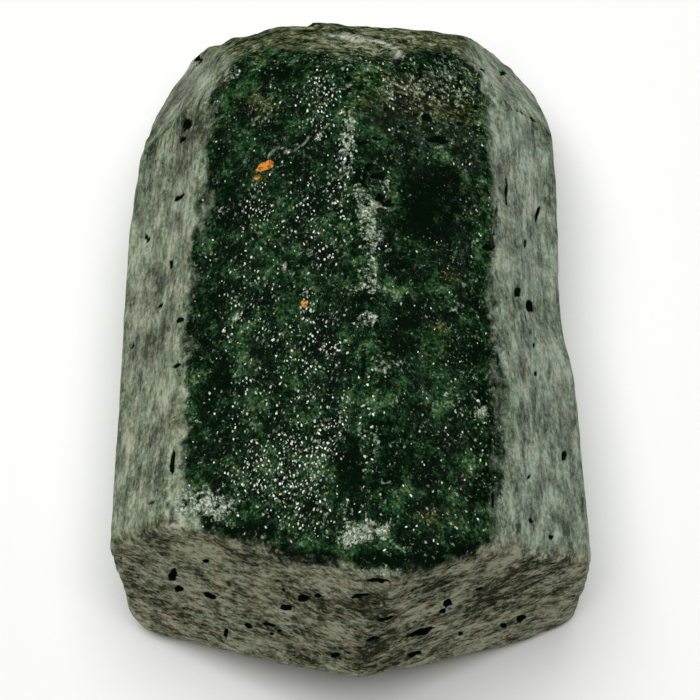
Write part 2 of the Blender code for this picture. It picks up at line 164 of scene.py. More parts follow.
# Marks as the photograph shows them, in its pixels.
# Each has its middle, half length, half width, turn in degrees and strength.
# For hollows the strength is a depth in millimetres.
crystalMarks = {
    "hollow": [
        (371, 165, 6, 3, 50, 0.5), (377, 174, 5, 3, 10, 0.55), (384, 175, 4, 3, -20, 0.4),
        (366, 182, 6, 3.5, -40, 0.6), (382, 194, 5, 2.5, -10, 0.4), (386, 200, 10, 3, -25, 0.7),
        (349, 75, 4.5, 2.2, -10, 0.4), (441, 138, 12, 3.2, -8, 0.5), (430, 115, 7, 3.5, -20, 0.35),
        (388, 107, 4.5, 2.2, 15, 0.3), (404, 126, 3.5, 3, 0, 0.3), (378, 137, 6.5, 2.2, -20, 0.35),
        (463, 121, 5, 2.2, 0, 0.3), (480, 104, 3.5, 2.5, 0, 0.25), (489, 246, 6, 4, -10, 0.5),
        (418, 112, 4, 2, 10, 0.25), (364, 141, 6, 2.2, 5, 0.3),
        (186, 123, 6, 4.5, 40, 0.5), (182, 138, 4, 3, 60, 0.35), (178, 197, 6.5, 2.8, 45, 0.55),
        (151, 149, 3, 2.5, 0, 0.3), (147, 238, 4, 2.5, 90, 0.3), (171, 264, 6, 1.8, 85, 0.35),
        (160, 305, 4, 2, 70, 0.3), (179, 318, 4, 2.5, 20, 0.3), (194, 320, 5, 1.8, 80, 0.35),
        (132, 344, 4, 2, 80, 0.3), (177, 364, 5, 2.2, 20, 0.3), (172, 462, 13, 2, 86, 0.35),
        (151, 501, 3.5, 2.5, 0, 0.3), (153, 515, 3, 2, 20, 0.25), (200, 59, 4, 2.5, 60, 0.35),
        (518, 292, 5.5, 2.6, 88, 0.6), (533, 305, 8, 7, 0, 0.3), (535, 373, 3.5, 2.5, 60, 0.3),
        (564, 456, 6.5, 3.2, 80, 0.5), (529, 476, 3, 2.5, 0, 0.25), (532, 520, 3, 2.5, 0, 0.25),
        (552, 536, 3, 2.5, 0, 0.25), (507, 190, 18, 1.8, 90, 0.3), (541, 212, 8, 2.2, 82, 0.3),
        (528, 242, 5, 2, 90, 0.3), (483, 69, 4, 3, 0, 0.35), (503, 72, 4.5, 3, -20, 0.35),
        (494, 498, 12, 1.8, 88, 0.4),
        (172, 575, 7.5, 4, 70, 0.45), (179, 588, 4.5, 3.5, 0, 0.35), (210, 596, 8.5, 2.6, -20, 0.4),
        (286, 608, 6, 3.3, -10, 0.45), (304, 597, 6, 4, 0, 0.45), (318, 595, 4, 2.5, 0, 0.3),
        (226, 633, 6, 2.4, 85, 0.35), (248, 626, 5, 2.4, -10, 0.3), (271, 634, 3, 2.4, 0, 0.25),
        (279, 631, 3, 2.2, 0, 0.25), (283, 590, 3, 2.4, 0, 0.25), (205, 561, 3.5, 2.5, 0, 0.3),
        (336, 655, 5.5, 3, 10, 0.35), (269, 625, 7, 1.6, -12, 0.25),
        (421, 632, 15, 4, 14, 0.5), (373, 639, 8, 2.5, 12, 0.35), (448, 603, 5, 3.6, 20, 0.35),
        (443, 611, 4, 2.8, 20, 0.3), (387, 618, 11, 1.7, 18, 0.3), (522, 619, 5.5, 3.6, 20, 0.35),
        (504, 626, 4, 2.8, 0, 0.3), (547, 632, 7, 1.6, 20, 0.3), (461, 634, 3, 2.4, 0, 0.25),
        (479, 589, 4, 2.6, 20, 0.3), (415, 654, 8, 2.6, 20, 0.35),
        (379, 580, 14, 2.3, -4, 0.4), (360, 595, 10, 2, 8, 0.35),
    ],
    "pale": [
        (206, 503, 38, 17, -15, 0.95), (186, 512, 14, 9, -30, 0.7), (364, 531, 27, 12, 8, 0.9),
        (345, 540, 10, 8, 0, 0.9), (348, 138, 44, 8, 88, 0.7), (367, 218, 42, 13, -78, 0.72),
        (372, 272, 20, 9, 85, 0.7), (366, 287, 20, 6, 0, 0.55), (369, 318, 13, 8, 0, 0.7),
        (387, 364, 20, 10, 0, 0.45), (447, 393, 4.5, 4.5, 0, 0.8), (481, 412, 9.5, 7, 0, 0.95),
        (477, 240, 6, 4, 40, 0.9), (457, 307, 7, 6, 0, 0.6), (284, 265, 6, 3, 85, 0.9),
        (238, 316, 5.5, 4, 0, 0.8), (224, 209, 13, 7, 45, 0.6), (199, 66, 10, 6, 55, 0.7),
        (385, 207, 10, 2.5, -25, 0.9), (386, 183, 10, 4, 60, 0.6), (438, 146, 7, 2.5, 0, 0.8),
        (349, 66, 8, 3, 10, 0.6), (349, 83, 9, 3, 5, 0.5), (501, 503, 17, 4, 88, 0.7),
        (396, 548, 12, 4, 0, 0.4), (373, 571, 28, 7, 0, 0.6), (497, 290, 32, 2.5, -75, 0.5),
        (232, 74, 12, 7, 30, 0.5), (209, 90, 24, 5, 78, 0.5), (410, 43, 9, 3, -15, 0.8),
        (390, 49, 17, 2.5, -35, 0.8), (306, 293, 3.5, 3, 0, 0.8), (320, 135, 7, 3.5, 35, 0.8),
        (375, 440, 40, 5, 88, 0.35), (420, 90, 40, 26, 0, 0.25), (350, 50, 70, 16, 0, 0.3),
        (460, 75, 40, 20, -35, 0.3), (263, 112, 22, 12, 0, 0.35),
    ],
    "olive": [
        (255, 104, 26, 15, 0, 0.7), (462, 110, 20, 15, 0, 0.9), (415, 100, 48, 24, 0, 0.65),
        (452, 187, 11, 8, -40, 0.8), (472, 206, 14, 7, 80, 0.7), (450, 274, 13, 10, 0, 0.8),
        (440, 328, 9, 8, 0, 0.8), (446, 349, 8, 6, 0, 0.7), (430, 515, 18, 12, 0, 0.9),
        (257, 551, 18, 7, -20, 0.7), (246, 411, 7, 6, 0, 0.7), (294, 352, 4, 4, 0, 0.9),
        (498, 557, 17, 12, 0, 0.6), (319, 131, 8, 4, 35, 0.8), (433, 175, 4, 3, -50, 0.9),
        (265, 176, 11, 8, 40, 0.6), (228, 85, 5, 4, 0, 0.8), (255, 55, 5, 4, 0, 0.9),
        (375, 205, 14, 9, 0, 0.4), (320, 556, 22, 6, 0, 0.5),
    ],
    # dark zones; along the near edge of the upper faces they are painted shade
    "shade": [
        (430, 205, 40, 42, 0, 1.0), (404, 258, 14, 22, 0, 0.6), (462, 548, 20, 14, 0, 1.0),
        (236, 534, 20, 8, -26, 1.0), (287, 552, 20, 9, -10, 1.0), (322, 560, 26, 9, 0, 0.95),
        (380, 560, 34, 10, 0, 0.95), (425, 558, 30, 11, 6, 1.0), (349, 470, 17, 34, 0, 0.8),
        (214, 400, 18, 60, 0, 0.65), (276, 72, 28, 7, 0, 0.7), (222, 200, 18, 60, 0, 0.55),
        (212, 310, 16, 50, 0, 0.6),
        (364, 362, 2.5, 20, 0, 0.9), (405, 330, 18, 40, 0, 0.5), (410, 460, 40, 25, 0, 0.5),
        (258, 530, 28, 9, -15, 0.6), (382, 640, 26, 30, 0, 0.5), (365, 610, 34, 14, 10, 0.5),
        (536, 572, 34, 16, 0, 0.5), (430, 590, 26, 12, 15, 0.6), (185, 130, 30, 22, 60, 0.7),
        (165, 175, 30, 14, 80, 0.5), (215, 60, 22, 12, 35, 0.5), (160, 310, 60, 18, 88, 0.35),
        (152, 470, 60, 20, 88, 0.35), (250, 40, 60, 12, 10, 0.5), (440, 60, 50, 16, -15, 0.5),
        (500, 600, 60, 14, 18, 0.5), (310, 600, 40, 12, -10, 0.5), (350, 655, 60, 12, 0, 0.5),
        (200, 620, 60, 10, -20, 0.3), (130, 560, 16, 14, 0, 0.4), (160, 135, 75, 38, 62, 0.5),
    ],
    # where the painted glints, which stand in for highlights, are dense
    "paintedGlint": [
        (279, 476, 52, 38, 0, 1.0), (325, 436, 50, 20, 65, 1.0), (322, 103, 38, 20, 85, 0.9),
        (257, 190, 14, 10, 20, 0.8), (262, 216, 34, 14, 0, 0.6), (245, 295, 60, 40, 90, 0.28),
        (320, 215, 60, 30, 90, 0.35), (310, 345, 50, 38, 90, 0.5), (345, 160, 70, 12, 88, 0.4),
        (440, 522, 36, 18, 10, 0.18), (438, 236, 26, 6, 0, 0.3), (445, 420, 50, 50, 0, 0.1),
        (310, 520, 40, 15, -10, 0.6), (265, 400, 60, 50, 0, 0.25), (366, 440, 70, 10, 90, 0.55),
        (303, 460, 40, 40, 0, 1.0), (240, 480, 20, 18, 0, 0.7), (420, 80, 50, 30, 0, 0.15),
    ],
    "stain": [
        (265, 165, 8.5, 4.5, 32, 1.0), (257, 177, 3.5, 2.6, 0, 0.9), (304, 303, 3.2, 3.6, 0, 0.9),
    ],
    "green": [
        (455, 62, 38, 20, -25, 1.0), (300, 52, 75, 12, 0, 0.8), (503, 440, 110, 6, 89, 0.35),
        (222, 60, 18, 12, 30, 0.5), (195, 250, 20, 5, 90, 0.3),
    ],
    "bare": [
        (178, 445, 75, 10, 90, 0.9), (188, 518, 26, 14, 0, 0.9), (202, 160, 30, 5, 88, 0.5),
        (205, 210, 26, 6, 50, 0.5), (497, 520, 26, 9, 90, 0.4), (200, 92, 20, 7, 70, 0.6),
    ],
}

# How ragged each kind of mark is, and the shares of its half widths between which it fades.
markFades = {
    "pale": (1.0, 0.45, 1.3),
    "olive": (1.0, 0.45, 1.3),
    "shade": (1.0, 0.45, 1.3),
    "paintedGlint": (1.0, 0.45, 1.3),
    "green": (2.0, 0.1, 1.6),
    "bare": (2.0, 0.1, 1.6),
    "stain": (1.0, 0.4, 1.35),
    "hollow": (0.8, 0.4, 1.3),
}

# Marks fade where a face turns away from the camera: the cosines between which they do.
markFacing = (0.0, 0.2)

# Lines as the photograph shows them, in its pixels.
crystalLines = {
    "pale": [
        ((308, 137), (302, 143), (296, 148), (284, 151)),
        ((279, 147), (273, 149), (268, 156)),
        ((489, 543), (480, 557), (468, 573)),
    ],
    # a painted highlight: a pale line along the step edge of the crease at the broken end
    "crease": [
        ((332, 35), (345, 36), (363, 40), (386, 45), (394, 51), (401, 57)),
    ],
    "crack": [
        ((525, 305), (528, 323), (538, 352)),
        ((517, 107), (527, 111), (536, 118)),
        ((497, 200), (498, 222), (495, 238)),
    ],
    "halfWidth": 0.7,  # pixels
    "fade": (0.6, 1.7),  # half widths between which a line fades
    "raggedness": 2.0,
    "creaseWidening": 0.2,  # pixels
    "paleStrength": 0.45,
    "creaseHighlightStrength": 0.85,
    "crackDepth": 0.35,  # mm
}

crystalLook = {
    "blackGreen": (0.0016, 0.0052, 0.0022),
    "deepGreen": (0.005, 0.021, 0.0065),
    "green": (0.017, 0.062, 0.019),
    "mottle": (0.068, 0.112, 0.044),
    "speck": (0.24, 0.3, 0.18),
    "oliveDark": (0.0075, 0.012, 0.0022),
    "olive": (0.033, 0.043, 0.011),
    "oliveMottle": (0.105, 0.12, 0.048),
    "oliveSpeck": (0.3, 0.31, 0.18),
    "crumbDark": (0.07, 0.1, 0.06),
    "abraded": (0.24, 0.29, 0.21),
    "crumbPale": (0.54, 0.59, 0.49),
    # painted glints: the colours of the bright flecks that stand in for highlights
    "paintedGlint": (0.9, 0.92, 0.86),
    "paintedGlintWarm": (0.85, 0.78, 0.46),
    "stain": (0.62, 0.24, 0.045),
    "stainDark": (0.26, 0.08, 0.012),
    # where each tone comes in the noise, and the tone
    # the sides and the point are paler than the front partly from their own grey-green streaked colour and
    # partly as painted sheen: these light tones stand in for the floor's reflection at a grazing angle
    "sideTones": (
        (0.6, (0.035, 0.048, 0.027)), (0.72, (0.17, 0.212, 0.134)), (0.85, (0.39, 0.45, 0.33)),
    ),
    "bandTones": (
        (0.63, (0.034, 0.038, 0.022)), (0.72, (0.177, 0.192, 0.117)), (0.82, (0.4, 0.415, 0.305)),
    ),
    "topTones": (
        (0.43, (0.006, 0.012, 0.0045)), (0.51, (0.064, 0.082, 0.036)), (0.62, (0.33, 0.34, 0.21)),
    ),
    "frontPlaces": (0.455, 0.515, 0.565, 0.615, 0.685),  # of the green and of the olive tones
    "crumbPlaces": (0.36, 0.5, 0.64),
    "warmTint": (1.1, 0.97, 0.98),
    "coolTint": (0.97, 1.01, 1.08),
    "spot": (0.006, 0.011, 0.006),
    # sizes across and along the grain, in millimetres
    "sideGrain": {"streaks": (0.55, 1.4), "patches": (1.4, 2.3), "spots": (0.45, 0.8), "flecks": (0.34, 0.5)},
    "bandGrain": {"streaks": (0.45, 0.9), "patches": (0.95, 1.5), "spots": (0.5, 0.9), "flecks": (0.32, 0.5)},
    "sideSpots": 0.65,  # lower for more dark spots
    "bandSpots": 0.6,
    "spotRise": 0.07,
    "spotStrength": 0.85,
    "fleckStrength": 0.6,
    "fringeShadeStrength": 0.85,
    "layerSize": (1.3, 0.3, 10),  # width, length and turn of the layers in the slope at the upper right
    "layerMiddle": 0.47,
    "oliveLift": 0.035,
    # how far the dark green runs out over the neighbouring faces, in millimetres
    "greenReach": {
        "topBevel": 1.0, "topLeftBevel": 0.8, "topRightBevel": 1.3, "rightBevel": 0.3,
        "rightShoulder": 0.3, "brokenEnd": 0.5,
    },
    "greenShift": 1.3,  # mm that the green and the bare marks move its edge
    "greenFray": 1.8,  # mm, how uneven its edge is
    # the pits and cracks get painted shade, which is full at these depths in mm
    "pitShadeDepth": 0.25,  # mm deep, where a pit is wholly dark
    "crackShadeDepth": 0.3,
    "edgeWorn": (0.01, 0.08),  # shares of the neighbouring faces between which an edge turns dull
    "ior": 1.63,
    "specular": 0.13,
    "wornSpecular": 0.0,
    "frontRoughness": 0.2,
    "sideRoughness": 0.65,
    "bandRoughness": 0.7,
    "abradedRoughness": 0.8,
    # the painted glints, flecks in the base colour that stand in for highlights
    "glintCell": (0.27, 0.42),  # mm between glints where they are dense, across and along
    # each layer of glints: degrees from the long axis, share of the density, and shift in mm
    "glintLayers": ((-28, 0.75, 0.0), (24, 0.6, 4.7)),
    "glintSize": 0.36,  # their greatest radius, as a share of the cell
    "glintSmallest": 0.35,  # the smallest one's share of that
    "glintFaintest": 0.25,
    "glintCore": 0.5,  # share of the radius where a glint starts to fade
    "glintRaggedness": 0.35,
    "glintBend": (0.3, 0.08),  # mm, size and amount of the bends in their rows
    "glintHush": 0.95,  # how many the shade takes away
    "skinBump": 0.18,
    "sideBump": 0.6,
    "bumpDistance": 0.00035,  # m
}

# Noise patterns: size in millimetres, or 1 where the place is already stretched, detail, roughness
# and distortion.
crystalGrain = {
    "frontBroad": (2.2, 2, 0.5, 0.0),
    "frontMottle": (0.75, 4, 0.7, 0.2),
    "frontFine": (0.24, 2, 0.6, 0.0),
    "frontTint": (0.9, 4, 0.75, 0.0),
    "frontSkin": (0.28, 2, 0.6, 0.0),
    "layers": (1.0, 3, 0.6, 0.3),
    "specks": (0.36, 2, 0.6, 0.3),
    "glintRim": (0.12, 1, 0.5, 0.0),
    "glintTone": (0.5, 2, 0.6, 0.0),
    "crumbs": (0.34, 4, 0.75, 0.2),
    "crumbPatches": (1.1, 2, 0.5, 0.0),
    "crumbTones": (0.22, 2, 0.65, 0.0),
    "streaks": (1.0, 2, 0.5, 0.0),
    "patches": (1.0, 3, 0.6, 0.0),
    "spots": (1.0, 3, 0.65, 0.3),
    "flecks": (1.0, 2, 0.6, 0.0),
    "sideFine": (0.34, 3, 0.65, 0.0),
    "sideBroad": (3.0, 2, 0.5, 0.0),
    "warmth": (1.8, 4, 0.65, 0.0),
    "topBroad": (1.6, 3, 0.6, 0.0),
    "topFine": (0.45, 4, 0.75, 0.3),
    "edge": (0.6, 5, 0.8, 0.0),
    "edgeBroad": (2.0, 2, 0.5, 0.0),
    "rust": (0.25, 2, 0.6, 0.0),
}

# How much each noise pattern, mark or other value counts in a mixture.
crystalMix = {
    "front": {"frontBroad": 0.3, "frontMottle": 0.4, "frontFine": 0.3, "shade": -0.08, "layers": 0.6},
    "oliveShare": {"frontTint": 1.0, "olive": 0.22, "fall": 0.1},
    "specks": {"specks": 0.6, "shade": -0.6},
    "abraded": {"pale": 0.18, "fall": 0.02, "crumbs": 0.75, "crumbPatches": 0.25},
    "streaked": {
        "streaks": 0.28, "patches": 0.42, "sideFine": 0.42, "sideBroad": 0.35, "shade": -0.1, "pale": 0.05,
    },
    "spots": {"spots": 1.0, "shade": 0.1},
    "top": {"topBroad": 0.4, "topFine": 0.6},
    "fray": {"edge": 1.0, "edgeBroad": 1.0},
    "topEdge": {"edge": 0.9, "top": 1.0},
    "pits": {"depth": 1.0, "edge": 0.9},
    "stain": {"stain": 1.0, "edge": 1.4},
    "glints": {"paintedGlint": 0.95, "frontEdge": 0.05},
}

# Between which two values each of them goes from nothing to full.
crystalLevels = {
    "oliveShare": (0.52, 0.7),
    "specks": (0.62, 0.72),
    "abraded": (0.58, 0.7),
    "flecks": (0.66, 0.76),
    "warmth": (0.46, 0.62),
    "coolSide": (0.0, 6.0),  # mm to the right
    "front": (-0.4, 0.4),  # mm inside the edge
    "band": (-1.2, 0.4),
    "topEdge": (0.7, 1.15),
    "fringeShade": (0.55, 0.95),
    "fringeEdge": (0.4, 0.52),
    "line": (0.36, 0.56),
    "pits": (0.75, 1.15),
    "rust": (0.42, 0.54),
    "stain": (1.05, 1.3),
    "glintTone": (0.5, 0.66),
}

stageLook = {
    "floorColour": (0.88, 0.88, 0.87, 1.0),
    "floorRoughness": 0.9,
    "floorSpecular": 0.1,
    "floorSize": 3.0,  # m
    "softboxPlace": (-0.03, 0.1, 0.6),
    "softboxSide": 0.5,
    "softboxPower": 4.9,
    "skyColour": (0.9, 0.91, 0.9, 1.0),
    "darkColour": (0.02, 0.022, 0.02, 1.0),
    "skyTop": 0.04,  # sine of the height where the pale sweep ends
    "skyFade": 0.12,
}


def ramp(values, start, end):
    # 0 before the start, 1 past the end, a smooth rise between them
    share = np.clip((values - start) / (end - start), 0.0, 1.0)
    return share * share * (3 - 2 * share)


def smoothNoise(coordinates, sizes, seed):
    # gentle bumps from -1 to 1, about as large as the sizes
    shift = Vector((7.3, 3.1, 5.7)) * seed
    return np.array([noise.noise(Vector(row) + shift) for row in coordinates / np.array(sizes)])


def bumps(points, name, seed):
    height, size = crystalRelief[name]
    return height * smoothNoise(points, (size,) * 3, seed)


# Camera, floor and lights.

def cameraAxes():
    lift = math.radians(cameraSetup["elevation"])
    right = np.array([1.0, 0.0, 0.0])
    up = np.array([0.0, math.sin(lift), math.cos(lift)])
    back = np.array([0.0, -math.cos(lift), math.sin(lift)])
    place = np.array(cameraSetup["target"]) + back * cameraSetup["distance"]
    return place, right, up, back


def makeCamera():
    place, _, _, _ = cameraAxes()
    lens = bpy.data.cameras.new("camera")
    lens.sensor_width = cameraSetup["sensorWidth"]
    lens.lens = cameraSetup["sensorWidth"] * cameraSetup["distance"] / cameraSetup["viewWidth"]
    lens.clip_start = cameraSetup["nearest"]
    lens.dof.use_dof = False
    camera = bpy.data.objects.new("camera", lens)
    camera.location = place * mm
    camera.rotation_euler = (math.radians(90 - cameraSetup["elevation"]), 0, 0)
    bpy.context.scene.collection.objects.link(camera)
    bpy.context.scene.camera = camera


def makeStage():
    bm = bmesh.new()
    bmesh.ops.create_grid(bm, x_segments=1, y_segments=1, size=stageLook["floorSize"] / 2)
    mesh = bpy.data.meshes.new("floor")
    bm.to_mesh(mesh)
    bm.free()
    paint = bpy.data.materials.new("pale floor")
    paint.use_nodes = True
    surface = paint.node_tree.nodes["Principled BSDF"]
    surface.inputs["Base Color"].default_value = stageLook["floorColour"]
    surface.inputs["Roughness"].default_value = stageLook["floorRoughness"]
    surface.inputs["Specular IOR Level"].default_value = stageLook["floorSpecular"]
    mesh.materials.append(paint)
    floor = bpy.data.objects.new("floor", mesh)
    bpy.context.scene.collection.objects.link(floor)


def makeLights():
    softbox = bpy.data.lights.new("softbox", "AREA")
    softbox.shape = "SQUARE"
    softbox.size = stageLook["softboxSide"]
    softbox.energy = stageLook["softboxPower"]
    lamp = bpy.data.objects.new("softbox", softbox)
    lamp.location = stageLook["softboxPlace"]
    lamp.rotation_euler = (-Vector(stageLook["softboxPlace"])).to_track_quat("-Z", "Y").to_euler()
    bpy.context.scene.collection.objects.link(lamp)

    # A pale sweep low down all round, and a dark room above it.
    world = bpy.data.worlds.new("studio")
    bpy.context.scene.world = world
    world.use_nodes = True
    tree = world.node_tree
    direction = addNode(tree, "ShaderNodeTexCoord", {}).outputs["Generated"]
    height = addNode(tree, "ShaderNodeSeparateXYZ", {"Vector": direction}).outputs["Z"]
    upper = between(tree, height, stageLook["skyTop"], stageLook["skyFade"])
    colour = mixColours(tree, upper, stageLook["skyColour"], stageLook["darkColour"])
    tree.links.new(colour, tree.nodes["Background"].inputs["Color"])
    bpy.context.scene.view_settings.view_transform = "Standard"


# Small helpers for shader nodes.

def addNode(tree, kind, sockets, **settings):
    new = tree.nodes.new(kind)
    for name, value in settings.items():
        setattr(new, name, value)
    for name, value in sockets.items():
        if isinstance(value, bpy.types.NodeSocket):
            tree.links.new(value, new.inputs[name])
        else:
            new.inputs[name].default_value = value
    return new


def calculate(tree, operation, first, second):
    return addNode(tree, "ShaderNodeMath", {0: first, 1: second}, operation=operation).outputs[0]


def product(tree, first, second):
    return calculate(tree, "MULTIPLY", first, second)


def between(tree, value, low, high):
    sockets = {"Value": value, "From Min": low, "From Max": high}
    return addNode(tree, "ShaderNodeMapRange", sockets, interpolation_type="SMOOTHSTEP").outputs["Result"]


def rgba(colour):
    return colour if len(colour) == 4 else (*colour, 1.0)


def mixColours(tree, factor, first, second):
    sockets = {0: factor}
    sockets[6] = first if isinstance(first, bpy.types.NodeSocket) else rgba(first)
    sockets[7] = second if isinstance(second, bpy.types.NodeSocket) else rgba(second)
    return addNode(tree, "ShaderNodeMix", sockets, data_type="RGBA").outputs[2]


def mixValues(tree, factor, first, second):
    return addNode(tree, "ShaderNodeMix", {0: factor, 2: first, 3: second}, data_type="FLOAT").outputs[0]


def scaled(tree, coordinates, size):
    sockets = {0: coordinates, "Scale": 1.0 / size}
    return addNode(tree, "ShaderNodeVectorMath", sockets, operation="SCALE").outputs["Vector"]


def grainNoise(tree, coordinates, name):
    size, detail, roughness, distortion = crystalGrain[name]
    sockets = {
        "Vector": coordinates,
        "Scale": 1.0 / size,
        "Detail": detail,
        "Roughness": roughness,
        "Distortion": distortion,
    }
    return addNode(tree, "ShaderNodeTexNoise", sockets).outputs["Fac"]


def colourRamp(tree, value, stops):
    stops = list(stops)
    node = addNode(tree, "ShaderNodeValToRGB", {"Fac": value})
    elements = node.color_ramp.elements
    while len(elements) < len(stops):
        elements.new(0.5)
    for element, (place, colour) in zip(elements, stops):
        element.position = place
        element.color = rgba(colour)
    return node.outputs["Color"]


def attribute(tree, name, output="Fac"):
    return addNode(tree, "ShaderNodeAttribute", {}, attribute_name=name).outputs[output]


def mixture(tree, place, name, **made):
    # the weighted sum of noise patterns, of marks on the mesh and of values that are already made
    total = None
    for part, weight in crystalMix[name].items():
        if part in made:
            value = made[part]
        elif part in crystalGrain:
            value = grainNoise(tree, place, part)
        else:
            value = attribute(tree, part)
        value = product(tree, value, weight)
        total = value if total is None else calculate(tree, "ADD", total, value)
    return total


# The crystal's form.

allFaces = {**crystalShape["prismFaces"], **crystalShape["pointFaces"], **crystalShape["brokenFaces"]}
faceNumber = {name: number for number, name in enumerate(allFaces)}


def faceNormal(azimuth, tilt):
    turn = math.radians(azimuth)
    lean = math.radians(tilt)
    return Vector((math.sin(turn) * math.cos(lean), -math.sin(lean), math.cos(turn) * math.cos(lean)))


faceNormals = np.array([faceNormal(azimuth, tilt) for azimuth, tilt, _ in allFaces.values()])
faceReaches = np.array([reach for _, _, reach in allFaces.values()])


def shareOf(weights, names):
    return weights[:, [faceNumber[name] for name in names]].sum(axis=1)


def cutBlock():
    middle = Vector(crystalShape["axisMiddle"])
    bm = bmesh.new()
    bmesh.ops.create_cube(bm, size=crystalShape["blockSide"])
    bmesh.ops.translate(bm, vec=middle, verts=bm.verts)
    for azimuth, tilt, reach in allFaces.values():
        outward = faceNormal(azimuth, tilt)
        everything = bm.verts[:] + bm.edges[:] + bm.faces[:]
        cut = bmesh.ops.bisect_plane(bm, geom=everything, dist=crystalShape["cutTolerance"],
                                     plane_co=middle + outward * reach, plane_no=outward, clear_outer=True)
        rim = [item for item in cut["geom_cut"] if isinstance(item, bmesh.types.BMEdge)]
        bmesh.ops.edgeloop_fill(bm, edges=rim)
    bmesh.ops.recalc_face_normals(bm, faces=bm.faces)
    mesh = bpy.data.meshes.new("sharp block")
    bm.to_mesh(mesh)
    bm.free()
    return mesh


def remeshed(mesh, grain):
    helper = bpy.data.objects.new("helper", mesh)
    bpy.context.scene.collection.objects.link(helper)
    remesh = helper.modifiers.new("remesh", "REMESH")
    remesh.mode = "VOXEL"
    remesh.voxel_size = grain
    graph = bpy.context.evaluated_depsgraph_get()
    fine = bpy.data.meshes.new_from_object(helper.evaluated_get(graph))
    bpy.data.objects.remove(helper)
    return fine


def meshPoints(mesh):
    flat = np.empty(len(mesh.vertices) * 3, np.float32)
    mesh.vertices.foreach_get("co", flat)
    return flat.reshape(-1, 3).astype(float)


def wornPoints(points):
    # Each edge is rounded by a smooth maximum over the planes of its faces.
    shape = crystalShape
    across, along, height = points.T
    ends = ramp(np.abs(along), shape["endWearStart"], shape["endWearStart"] + shape["endWearRise"])
    low = 1 - ramp(height, shape["lowWearTop"] / 2, shape["lowWearTop"])
    farEdge = ramp(along, *shape["softFarStart"]) * (1 - ramp(along, *shape["softFarEnd"]))
    rightEdge = ramp(across, *shape["softRightStart"]) * (1 - ramp(along, *shape["softRightEnd"]))
    soft = ramp(height, *shape["softHeight"]) * np.maximum(farEdge, rightEdge)
    wear = shape["prismWear"] + (shape["endWear"] - shape["prismWear"]) * ends
    wear = np.maximum.reduce([wear, shape["lowWear"] * low, shape["softWear"] * soft])[:, None]
    for _ in range(shape["wearPasses"]):
        gaps = (points - np.array(shape["axisMiddle"])) @ faceNormals.T - faceReaches
        nearest = gaps.max(axis=1, keepdims=True)
        powers = np.exp((gaps - nearest) / wear)
        total = powers.sum(axis=1, keepdims=True)
        weights = powers / total
        outward = weights @ faceNormals
        outward /= np.linalg.norm(outward, axis=1, keepdims=True)
        points = points - outward * (nearest + wear * np.log(total))
    return points, weights, outward, gaps


def photoPlace(points):
    # where each point shows in the photograph, in its pixels
    place, right, up, back = cameraAxes()
    offset = points - place
    pixels = cameraSetup["pictureWidth"] * cameraSetup["distance"] / cameraSetup["viewWidth"]
    depth = -(offset @ back)
    middle = cameraSetup["pictureWidth"] / 2
    return middle + pixels * (offset @ right) / depth, middle - pixels * (offset @ up) / depth


def markField(seen, marks, ragged, inner, outer):
    across, down = seen
    field = np.zeros(len(across))
    for x, y, halfLength, halfWidth, turn, strength in marks:
        angle = math.radians(turn)
        offsetX = across - x
        offsetY = y - down
        along = (offsetX * math.cos(angle) + offsetY * math.sin(angle)) / halfLength
        aside = (offsetY * math.cos(angle) - offsetX * math.sin(angle)) / halfWidth
        fromMiddle = np.hypot(along, aside) + ragged
        field = np.maximum(field, strength * (1 - ramp(fromMiddle, inner, outer)))
    return field


def lineField(seen, lines, wobble):
    across, down = seen
    halfWidth = crystalLines["halfWidth"]
    field = np.zeros(len(across))
    for line in lines:
        for (startX, startY), (endX, endY) in zip(line, line[1:]):
            spanX, spanY = endX - startX, endY - startY
            along = ((across - startX) * spanX + (down - startY) * spanY) / (spanX ** 2 + spanY ** 2)
            along = np.clip(along, 0, 1)
            away = np.hypot(across - startX - along * spanX, down - startY - along * spanY) + wobble
            field = np.maximum(field, 1 - ramp(away / halfWidth, *crystalLines["fade"]))
    return field


